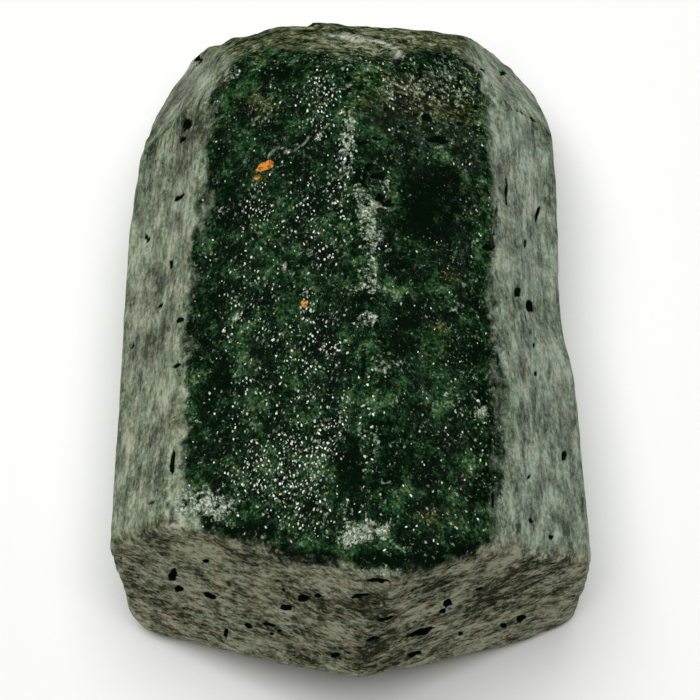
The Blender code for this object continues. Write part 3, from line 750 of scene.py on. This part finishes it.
def surfaceRelief(points, weights, gaps, seen, facing, pale):
    values = crystalRelief
    unrolled = unrolledPlaces(points)
    around, along, _ = unrolled.T
    prism = shareOf(weights, crystalShape["prismFaces"])
    front = shareOf(weights, ["upperLeft", "upperRight"])
    sides = prism - front
    point = shareOf(weights, crystalShape["pointFaces"])
    broken = shareOf(weights, crystalShape["brokenFaces"])

    # broad waves, and flutes along the prism faces
    relief = bumps(points, "wave", 1)
    height, width, length = values["flute"]
    relief += height * smoothNoise(unrolled, (width, length, 1), 2) * (prism - values["fluteLoss"] * front)

    # the ridge between the two upper faces is rubbed flat
    depth, halfWidth = values["ridgeWear"]
    apart = np.abs(gaps[:, faceNumber["upperLeft"]] - gaps[:, faceNumber["upperRight"]])
    onRidge = (1 - ramp(apart, 0.0, halfWidth)) * front
    ridge = (1 - ramp(apart, halfWidth, values["ridgeBorder"] * halfWidth)) * front
    mean, swing, size = values["ridgePatches"]
    relief -= depth * onRidge * (mean + swing * smoothNoise(points, (size,) * 3, 3))

    # chips out of the edges
    depth, size, threshold = values["chip"]
    onEdge = np.clip(values["edgeSpread"] * (1 - weights.max(axis=1)), 0, 1)
    relief -= depth * onEdge * np.clip(smoothNoise(points, (size,) * 3, 4) - threshold, 0, 1)

    # the curved step on the right side
    startAround, startAlong = values["shelfStart"]
    pastStart = np.clip(around - startAround, 0, None)
    edge = startAlong - values["shelfDrop"] * (1 - np.exp(-pastStart / values["shelfCurve"]))
    rise, growth = values["shelfRise"]
    foot = edge + rise + growth * pastStart
    lower = ramp(along, edge, foot) * (1 - ramp(along, foot, foot + values["shelfLength"]))
    outer = ramp(around, startAround, startAround + values["shelfFadeIn"])
    underStart, underEnd = values["shelfUnder"]
    under = ramp(around, startAround + underStart, startAround + underEnd)
    relief -= values["shelfDepth"] * lower * outer * (1 - under)

    # the upper right face falls away towards the broken end in a rough slope
    start, end, drop = values["shoulderFall"]
    fall = ramp(along + values["shoulderSlant"] * points[:, 0], start, end) * shareOf(weights, ["upperRight"])
    lumps = smoothNoise(points, values["shoulderLumpSizes"], 5)
    relief -= drop * fall * (1 + values["shoulderLumps"] * lumps)

    # flat steps over the broken end
    depth, size, count = values["step"]
    levels = (smoothNoise(points, (size, size, values["stepSqueeze"] * size), 6) + 1) * count / 2
    stepped = np.floor(levels) + ramp(levels % 1.0, values["stepFlatness"], 1.0)
    onSteps = shareOf(weights, ["brokenEnd", "rightBevel", "leftBevel", "rightTaper"])
    relief += depth * (stepped / count - values["stepMiddle"]) * onSteps

    # a thin raised sliver at the top of the broken end
    left = np.array(values["sliverLeft"])
    crease = np.array(values["sliverRight"]) - left
    fromLeft = points[:, :2] - left
    past = (crease[0] * fromLeft[:, 1] - crease[1] * fromLeft[:, 0]) / np.linalg.norm(crease)
    high = ramp(points[:, 2], *values["sliverFadeIn"])
    onTop = shareOf(weights, ["topBevel", "topRightBevel", "brokenEnd"])
    relief += values["sliverHeight"] * ramp(past, 0.0, values["sliverStep"]) * onTop * high

    # etched mounds, fine grooves and rough ground
    relief += bumps(points, "skin", 8) * front
    relief += bumps(points, "skinCoarse", 9) * (front + broken)
    height, width, length = values["streak"]
    relief += height * smoothNoise(unrolled, (width, length, 1), 10) * sides
    relief += bumps(points, "lumps", 11) * np.maximum(broken, fall)
    relief += bumps(points, "bandLumps", 15) * (point + values["bandLumpsOnSides"] * sides)

    # broken ground where the surface is abraded
    crumbly = [pale, values["crumbsOnFall"] * fall, values["crumbsOnRidge"] * onRidge]
    relief += bumps(points, "crumbs", 14) * np.maximum.reduce(crumbly) * (1 - point)

    # pits and cracks where the photograph shows them
    ragged = bumps(points, "pitRim", 7) + bumps(points, "pitRimFine", 13)
    hollow = markField(seen, crystalMarks["hollow"], ragged, *values["pitFade"]) * facing
    hollow *= values["pitsOnSides"] + (1 - values["pitsOnSides"]) * front
    crack = lineField(seen, crystalLines["crack"], crystalLines["raggedness"] * ragged) * facing
    crack *= crystalLines["crackDepth"]
    height, size = values["pinPits"]
    pins = ramp(smoothNoise(points, (size,) * 3, 12), *values["pinLevels"])
    pins *= values["pinsOffPoint"] + (1 - values["pinsOffPoint"]) * point
    relief -= np.maximum(hollow, crack) + height * pins
    return relief * (1 - shareOf(weights, ["back"])), crack, fall, ridge


def depthInside(gaps, names, reaches):
    # how far inside the edges of the named faces each point lies, in millimetres
    others = [name for name in allFaces if name not in names]
    reach = np.array([reaches.get(name, 0.0) for name in others])
    outer = (gaps[:, [faceNumber[name] for name in others]] - reach).max(axis=1)
    return gaps[:, [faceNumber[name] for name in names]].max(axis=1) - outer


def unrolledPlaces(points):
    # round the axis and along it, so that a pattern follows the prism faces
    middle = crystalShape["axisMiddle"]
    turn = np.arctan2(points[:, 0] - middle[0], points[:, 2] - middle[2])
    return np.column_stack([crystalRelief["meanRadius"] * turn, points[:, 1], np.zeros(len(points))])


def bandPlaces(points, gaps):
    # across the grain and along it on the faces of the point
    directions = crystalShape["pointGrain"]
    nearest = gaps[:, [faceNumber[name] for name in directions]].argmax(axis=1)
    places = np.zeros((len(points), 3))
    for number, (name, direction) in enumerate(directions.items()):
        along = np.array(direction) / np.linalg.norm(direction)
        across = np.cross(faceNormals[faceNumber[name]], along)
        local = np.column_stack([points @ across, points @ along, np.zeros(len(points))])
        places[nearest == number] = local[nearest == number]
    return places


def addAttribute(mesh, name, values, kind="FLOAT"):
    layer = mesh.attributes.new(name, kind, "POINT")
    field = "vector" if kind == "FLOAT_VECTOR" else "value"
    layer.data.foreach_set(field, np.asarray(values, np.float32).ravel())


def refineFaces(mesh):
    # The upper faces and the point's upper side hold the finest detail, so their squares are cut in four.
    _, weights, _, _ = wornPoints(meshPoints(mesh))
    share = shareOf(weights, ["upperLeft", "upperRight", "leftPoint", "rightPoint"])
    upper = share > crystalShape["refinedShare"]
    bm = bmesh.new()
    bm.from_mesh(mesh)
    bm.verts.ensure_lookup_table()
    edges = [edge for edge in bm.edges if upper[edge.verts[0].index] and upper[edge.verts[1].index]]
    bmesh.ops.subdivide_edges(bm, edges=edges, cuts=1, use_grid_fill=True)
    bmesh.ops.triangulate(bm, faces=[face for face in bm.faces if len(face.verts) > 4])
    bm.to_mesh(mesh)
    bm.free()


def surfaceMarks(points, weights, outward, gaps):
    # the relief, and the values that the finish reads from the mesh
    seen = photoPlace(points)
    _, _, _, back = cameraAxes()
    facing = ramp(outward @ back, *markFacing)
    ragged = bumps(points, "markRim", 21) + bumps(points, "markRimFine", 22)
    marks = {}
    for name, (raggedness, inner, outer) in markFades.items():
        marks[name] = markField(seen, crystalMarks[name], raggedness * ragged, inner, outer) * facing
    pale = lineField(seen, crystalLines["pale"], crystalLines["raggedness"] * ragged)
    # the crease line is a painted highlight on the step edge; the other pale lines are marks on the surface
    crease = lineField(seen, crystalLines["crease"], ragged - crystalLines["creaseWidening"])
    lines = np.maximum(crystalLines["paleStrength"] * pale, crystalLines["creaseHighlightStrength"] * crease)
    marks["line"] = lines * facing
    relief, crack, marks["fall"], ridge = surfaceRelief(points, weights, gaps, seen, facing, marks["pale"])
    marks["worn"] = np.maximum(ridge, ramp(1 - weights.max(axis=1), *crystalLook["edgeWorn"]))
    # painted shade in the pits and cracks: the deeper they are, the darker
    marks["hollow"] = np.clip(marks["hollow"] / crystalLook["pitShadeDepth"], 0, 1)
    marks["crack"] = np.clip(crack / crystalLook["crackShadeDepth"], 0, 1)
    marks["front"] = depthInside(gaps, ["upperLeft", "upperRight"], crystalLook["greenReach"])
    marks["front"] += crystalLook["greenShift"] * (marks.pop("green") - marks.pop("bare"))
    marks["band"] = depthInside(gaps, crystalShape["pointFaces"], {})
    marks["point"] = shareOf(weights, crystalShape["pointFaces"])
    marks["top"] = shareOf(weights, ["brokenEnd", "topBevel", "topLeftBevel", "topRightBevel"])
    return relief, marks


def buildCrystal():
    fine = remeshed(cutBlock(), crystalShape["meshGrain"])
    refineFaces(fine)
    points, weights, outward, gaps = wornPoints(meshPoints(fine))
    relief, marks = surfaceMarks(points, weights, outward, gaps)
    for name, values in marks.items():
        addAttribute(fine, name, values)
    addAttribute(fine, "unrolled", unrolledPlaces(points), "FLOAT_VECTOR")
    addAttribute(fine, "bandGrain", bandPlaces(points, gaps), "FLOAT_VECTOR")
    points += outward * relief[:, None]
    fine.vertices.foreach_set("co", points.ravel())
    fine.update()
    flattenBack(fine)
    return fine


def flattenBack(mesh):
    cutHeight = crystalShape["restCut"]
    bm = bmesh.new()
    bm.from_mesh(mesh)
    everything = bm.verts[:] + bm.edges[:] + bm.faces[:]
    cut = bmesh.ops.bisect_plane(bm, geom=everything, dist=crystalShape["restTolerance"],
                                 plane_co=(0, 0, cutHeight), plane_no=(0, 0, -1), clear_outer=True)
    rim = [item for item in cut["geom_cut"] if isinstance(item, bmesh.types.BMEdge)]
    bmesh.ops.edgeloop_fill(bm, edges=rim)
    bmesh.ops.translate(bm, vec=(0, 0, -cutHeight), verts=bm.verts)
    for vertex in bm.verts:
        vertex.co.z = max(vertex.co.z, 0.0)
    bmesh.ops.scale(bm, vec=(mm, mm, mm), verts=bm.verts)
    bmesh.ops.triangulate(bm, faces=[face for face in bm.faces if len(face.verts) > 4])
    bmesh.ops.recalc_face_normals(bm, faces=bm.faces)
    bm.to_mesh(mesh)
    bm.free()


# The crystal's finish.

def stretched(tree, coordinates, width, length, turn=0.0):
    # divides a place on the surface by the width and the length of a streak
    if turn:
        sockets = {"Vector": coordinates, "Rotation": (0.0, 0.0, math.radians(turn))}
        coordinates = addNode(tree, "ShaderNodeMapping", sockets).outputs["Vector"]
    sockets = {"Vector": coordinates, "Scale": (1 / width, 1 / length, 1.0)}
    return addNode(tree, "ShaderNodeMapping", sockets).outputs["Vector"]


def paintedGlintCells(tree, coordinates, turn, density, ragged):
    # painted glints: bright flecks, each in its own long cell, more of them where the density is high
    look = crystalLook
    cells = addNode(tree, "ShaderNodeTexVoronoi", {
        "Vector": stretched(tree, coordinates, *look["glintCell"], turn), "Scale": 1.0, "Randomness": 1.0,
    }, feature="F1", voronoi_dimensions="2D")
    parts = addNode(tree, "ShaderNodeSeparateColor", {"Color": cells.outputs["Color"]})
    radius = addNode(tree, "ShaderNodeMapRange", {
        "Value": parts.outputs["Red"],
        "To Min": look["glintSmallest"] * look["glintSize"],
        "To Max": look["glintSize"],
    }).outputs["Result"]
    core = product(tree, radius, look["glintCore"])
    distance = calculate(tree, "ADD", cells.outputs["Distance"], ragged)
    dot = calculate(tree, "SUBTRACT", 1.0, between(tree, distance, core, radius))
    chosen = calculate(tree, "LESS_THAN", parts.outputs["Green"], density)
    sockets = {"Value": parts.outputs["Blue"], "To Min": look["glintFaintest"]}
    power = addNode(tree, "ShaderNodeMapRange", sockets).outputs["Result"]
    power = product(tree, power, power)
    return product(tree, product(tree, dot, chosen), power)


def warped(tree, coordinates, place, size, amount):
    # bends a pattern's coordinates a little, so that nothing in it is round or straight
    sockets = {"Vector": place, "Scale": 1.0 / size, "Detail": 1.0}
    bend = addNode(tree, "ShaderNodeTexNoise", sockets).outputs["Color"]
    sockets = {0: bend, 1: (2 * amount,) * 3, 2: (-amount,) * 3}
    shift = addNode(tree, "ShaderNodeVectorMath", sockets, operation="MULTIPLY_ADD").outputs[0]
    return addNode(tree, "ShaderNodeVectorMath", {0: coordinates, 1: shift}, operation="ADD").outputs[0]


def frontFinish(tree, unrolled, place):
    # black-green glass with green mottles and specks, which are olive in places
    look = crystalLook
    layers = grainNoise(tree, stretched(tree, unrolled, *look["layerSize"]), "layers")
    layers = calculate(tree, "SUBTRACT", layers, look["layerMiddle"])
    layers = product(tree, layers, attribute(tree, "fall"))
    value = mixture(tree, place, "front", layers=layers)
    lift = product(tree, attribute(tree, "olive"), look["oliveLift"])
    greens = [look[name] for name in ("blackGreen", "deepGreen", "green", "mottle", "speck")]
    olives = [look[name] for name in ("blackGreen", "oliveDark", "olive", "oliveMottle", "oliveSpeck")]
    green = colourRamp(tree, value, zip(look["frontPlaces"], greens))
    olive = colourRamp(tree, calculate(tree, "ADD", value, lift), zip(look["frontPlaces"], olives))
    oliveShare = between(tree, mixture(tree, place, "oliveShare"), *crystalLevels["oliveShare"])
    colour = mixColours(tree, oliveShare, green, olive)
    specks = between(tree, grainNoise(tree, place, "specks"), *crystalLevels["specks"])
    specks = mixture(tree, place, "specks", specks=specks)
    return mixColours(tree, calculate(tree, "MAXIMUM", specks, 0.0), colour, look["speck"])


def paintedGlintShare(tree, unrolled, place, density):
    # layers of painted glints that cross each other, with ragged outlines
    look = crystalLook
    bent = warped(tree, unrolled, place, *look["glintBend"])
    ragged = calculate(tree, "SUBTRACT", grainNoise(tree, place, "glintRim"), 0.5)
    ragged = product(tree, ragged, look["glintRaggedness"])
    share = 0.0
    for turn, part, shift in look["glintLayers"]:
        sockets = {0: bent, 1: (shift, shift, 0.0)}
        moved = addNode(tree, "ShaderNodeVectorMath", sockets, operation="ADD").outputs[0]
        layer = paintedGlintCells(tree, moved, turn, product(tree, density, part), ragged)
        share = calculate(tree, "MAXIMUM", layer, share)
    return share


def abradedGround(tree, place):
    # pale crumbs with dark gaps, closer together where more is rubbed away
    look = crystalLook
    share = between(tree, mixture(tree, place, "abraded"), *crystalLevels["abraded"])
    tones = [look[name] for name in ("crumbDark", "abraded", "crumbPale")]
    return share, colourRamp(tree, grainNoise(tree, place, "crumbTones"), zip(look["crumbPlaces"], tones))


def streakedFinish(tree, coordinates, place, kind):
    # streaks and patches along the grain, with dark spots and pale flecks
    look = crystalLook
    tones = look[kind + "Tones"]
    patterns = {}
    for name, size in look[kind + "Grain"].items():
        patterns[name] = grainNoise(tree, stretched(tree, coordinates, *size), name)
    value = mixture(tree, place, "streaked", **patterns)
    colour = colourRamp(tree, value, tones)
    spots = mixture(tree, place, "spots", **patterns)
    spots = between(tree, spots, look[kind + "Spots"], look[kind + "Spots"] + look["spotRise"])
    colour = mixColours(tree, product(tree, spots, look["spotStrength"]), colour, look["spot"])
    flecks = between(tree, patterns["flecks"], *crystalLevels["flecks"])
    _, pale = tones[-1]
    return mixColours(tree, product(tree, flecks, look["fleckStrength"]), colour, pale), value


def tinted(tree, factor, colour, tint):
    sockets = {0: factor, 6: colour, 7: rgba(tint)}
    return addNode(tree, "ShaderNodeMix", sockets, data_type="RGBA", blend_type="MULTIPLY").outputs[2]


def tourmalineFinish():
    look, levels = crystalLook, crystalLevels
    material = bpy.data.materials.new("black tourmaline")
    material.use_nodes = True
    tree = material.node_tree
    surface = tree.nodes["Principled BSDF"]
    place = scaled(tree, addNode(tree, "ShaderNodeTexCoord", {}).outputs["Object"], mm)
    unrolled = attribute(tree, "unrolled", "Vector")
    point, top, shade = [attribute(tree, name) for name in ("point", "top", "shade")]

    # the sides, warm in patches and cooler on the right; their pale tones are partly painted sheen
    sideColour, sideValue = streakedFinish(tree, unrolled, place, "side")
    warmth = between(tree, grainNoise(tree, place, "warmth"), *levels["warmth"])
    sideColour = tinted(tree, warmth, sideColour, look["warmTint"])
    aside = addNode(tree, "ShaderNodeSeparateXYZ", {"Vector": place}).outputs["X"]
    sideColour = tinted(tree, between(tree, aside, *levels["coolSide"]), sideColour, look["coolTint"])

    # the point and the broken end; the point's pale tones are partly painted sheen
    bandColour, bandValue = streakedFinish(tree, attribute(tree, "bandGrain", "Vector"), place, "band")
    bandColour = tinted(tree, warmth, bandColour, look["warmTint"])
    topColour = colourRamp(tree, mixture(tree, place, "top"), look["topTones"])

    # edges between the finishes are ragged
    edgeNoise = grainNoise(tree, place, "edge")
    fray = mixture(tree, place, "fray", edge=edgeNoise)
    fray = product(tree, fray, look["greenFray"])
    edges = {}
    for name in ("front", "band"):
        start, end = levels[name]
        depth = calculate(tree, "ADD", attribute(tree, name), fray)
        edges[name] = between(tree, depth, look["greenFray"] + start, look["greenFray"] + end)
    frontEdge = edges["front"]
    topEdge = between(tree, mixture(tree, place, "topEdge", edge=edgeNoise), *levels["topEdge"])
    colour = mixColours(tree, edges["band"], sideColour, bandColour)
    colour = mixColours(tree, topEdge, colour, topColour)
    colour = mixColours(tree, frontEdge, colour, frontFinish(tree, unrolled, place))

    # the black-green fringe, painted shade under the near edge of the upper faces and in the strongest shade
    # marks, then abraded ground
    inShade = between(tree, shade, *levels["fringeShade"])
    paintedFringeShade = product(tree, inShade, between(tree, edgeNoise, *levels["fringeEdge"]))
    paintedFringeShade = product(tree, paintedFringeShade, look["fringeShadeStrength"])
    colour = mixColours(tree, paintedFringeShade, colour, look["blackGreen"])
    abraded, abradedColour = abradedGround(tree, place)
    colour = mixColours(tree, abraded, colour, abradedColour)

    # pale lines, with a painted highlight along the crease; painted shade in the pits and cracks, the deeper
    # the darker; and rust stains
    lines = product(tree, attribute(tree, "line"), between(tree, edgeNoise, *levels["line"]))
    colour = mixColours(tree, lines, colour, look["crumbPale"])
    pits = calculate(tree, "MAXIMUM", attribute(tree, "hollow"), attribute(tree, "crack"))
    pits = between(tree, mixture(tree, place, "pits", depth=pits, edge=edgeNoise), *levels["pits"])
    colour = mixColours(tree, pits, colour, look["blackGreen"])
    rust = between(tree, grainNoise(tree, place, "rust"), *levels["rust"])
    rust = mixColours(tree, rust, look["stainDark"], look["stain"])
    stain = between(tree, mixture(tree, place, "stain", edge=edgeNoise), *levels["stain"])
    colour = mixColours(tree, stain, colour, rust)

    # painted glints: bright flecks in the base colour that stand in for highlights off tiny facets, fewer in
    # the shade
    glintTone = between(tree, grainNoise(tree, place, "glintTone"), *levels["glintTone"])
    paintedGlintColour = mixColours(tree, glintTone, look["paintedGlint"], look["paintedGlintWarm"])
    quiet = calculate(tree, "SUBTRACT", 1.0, product(tree, shade, look["glintHush"]))
    density = mixture(tree, place, "glints", frontEdge=frontEdge)
    density = product(tree, product(tree, density, quiet), frontEdge)
    colour = mixColours(tree, paintedGlintShare(tree, unrolled, place, density), colour, paintedGlintColour)
    tree.links.new(colour, surface.inputs["Base Color"])

    # gloss
    roughness = mixValues(tree, point, look["sideRoughness"], look["bandRoughness"])
    roughness = mixValues(tree, top, roughness, look["abradedRoughness"])
    roughness = mixValues(tree, frontEdge, roughness, look["frontRoughness"])
    dull = calculate(tree, "MAXIMUM", abraded, attribute(tree, "fall"))
    roughness = mixValues(tree, dull, roughness, look["abradedRoughness"])
    tree.links.new(roughness, surface.inputs["Roughness"])
    surface.inputs["IOR"].default_value = look["ior"]
    worn = attribute(tree, "worn")
    for share in (dull, shade, top, point, pits):
        worn = calculate(tree, "MAXIMUM", worn, share)
    specular = mixValues(tree, worn, look["specular"], look["wornSpecular"])
    tree.links.new(specular, surface.inputs["Specular IOR Level"])

    # fine relief under the mesh's own
    skinHeight = product(tree, grainNoise(tree, place, "frontSkin"), look["skinBump"])
    sideHeight = product(tree, mixValues(tree, point, sideValue, bandValue), look["sideBump"])
    height = mixValues(tree, frontEdge, sideHeight, skinHeight)
    sockets = {"Height": height, "Strength": 1.0, "Distance": look["bumpDistance"]}
    skin = addNode(tree, "ShaderNodeBump", sockets)
    tree.links.new(skin.outputs["Normal"], surface.inputs["Normal"])
    return material


makeCamera()
makeStage()
makeLights()
print("camera, floor and lights are in place")

crystalMesh = buildCrystal()
print("crystal has", sum(len(face.vertices) - 2 for face in crystalMesh.polygons), "triangles")

crystal = bpy.data.objects.new("tourmaline_crystal", crystalMesh)
bpy.context.scene.collection.objects.link(crystal)
crystalMesh.materials.clear()
crystalMesh.materials.append(tourmalineFinish())
crystalMesh.shade_smooth()
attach(crystal, "root")
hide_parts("crystal")
print("crystal is finished")
